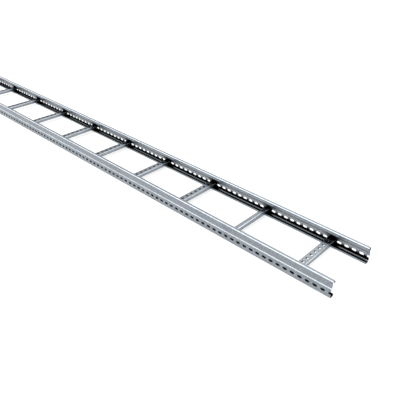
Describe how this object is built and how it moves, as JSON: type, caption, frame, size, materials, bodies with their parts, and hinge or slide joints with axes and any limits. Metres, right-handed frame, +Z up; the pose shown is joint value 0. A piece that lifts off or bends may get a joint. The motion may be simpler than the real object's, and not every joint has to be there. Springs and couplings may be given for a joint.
{
  "type": "cable ladder section",
  "caption": "Straight ladder of galvanised steel for carrying cables: two inward-facing slotted side rails joined by perforated channel rungs.",
  "frame": {"origin": "centre of the ladder's length and width, on the floor under the rails", "axes": "+X along the ladder towards the end with rung_01, +Y across it, +Z up"},
  "size_m": [3, 0.215, 0.059],
  "materials": {
    "galvanised_steel": "galvanised, matte with a faint spangle"
  },
  "bodies": {
    "root": {"rail_left": "galvanised_steel", "rail_right": "galvanised_steel", "rung_01": "galvanised_steel", "rung_02": "galvanised_steel", "rung_03": "galvanised_steel", "rung_04": "galvanised_steel", "rung_05": "galvanised_steel", "rung_06": "galvanised_steel", "rung_07": "galvanised_steel", "rung_08": "galvanised_steel", "rung_09": "galvanised_steel", "rung_10": "galvanised_steel", "rung_11": "galvanised_steel", "rung_12": "galvanised_steel"}
  },
  "joints": []
}
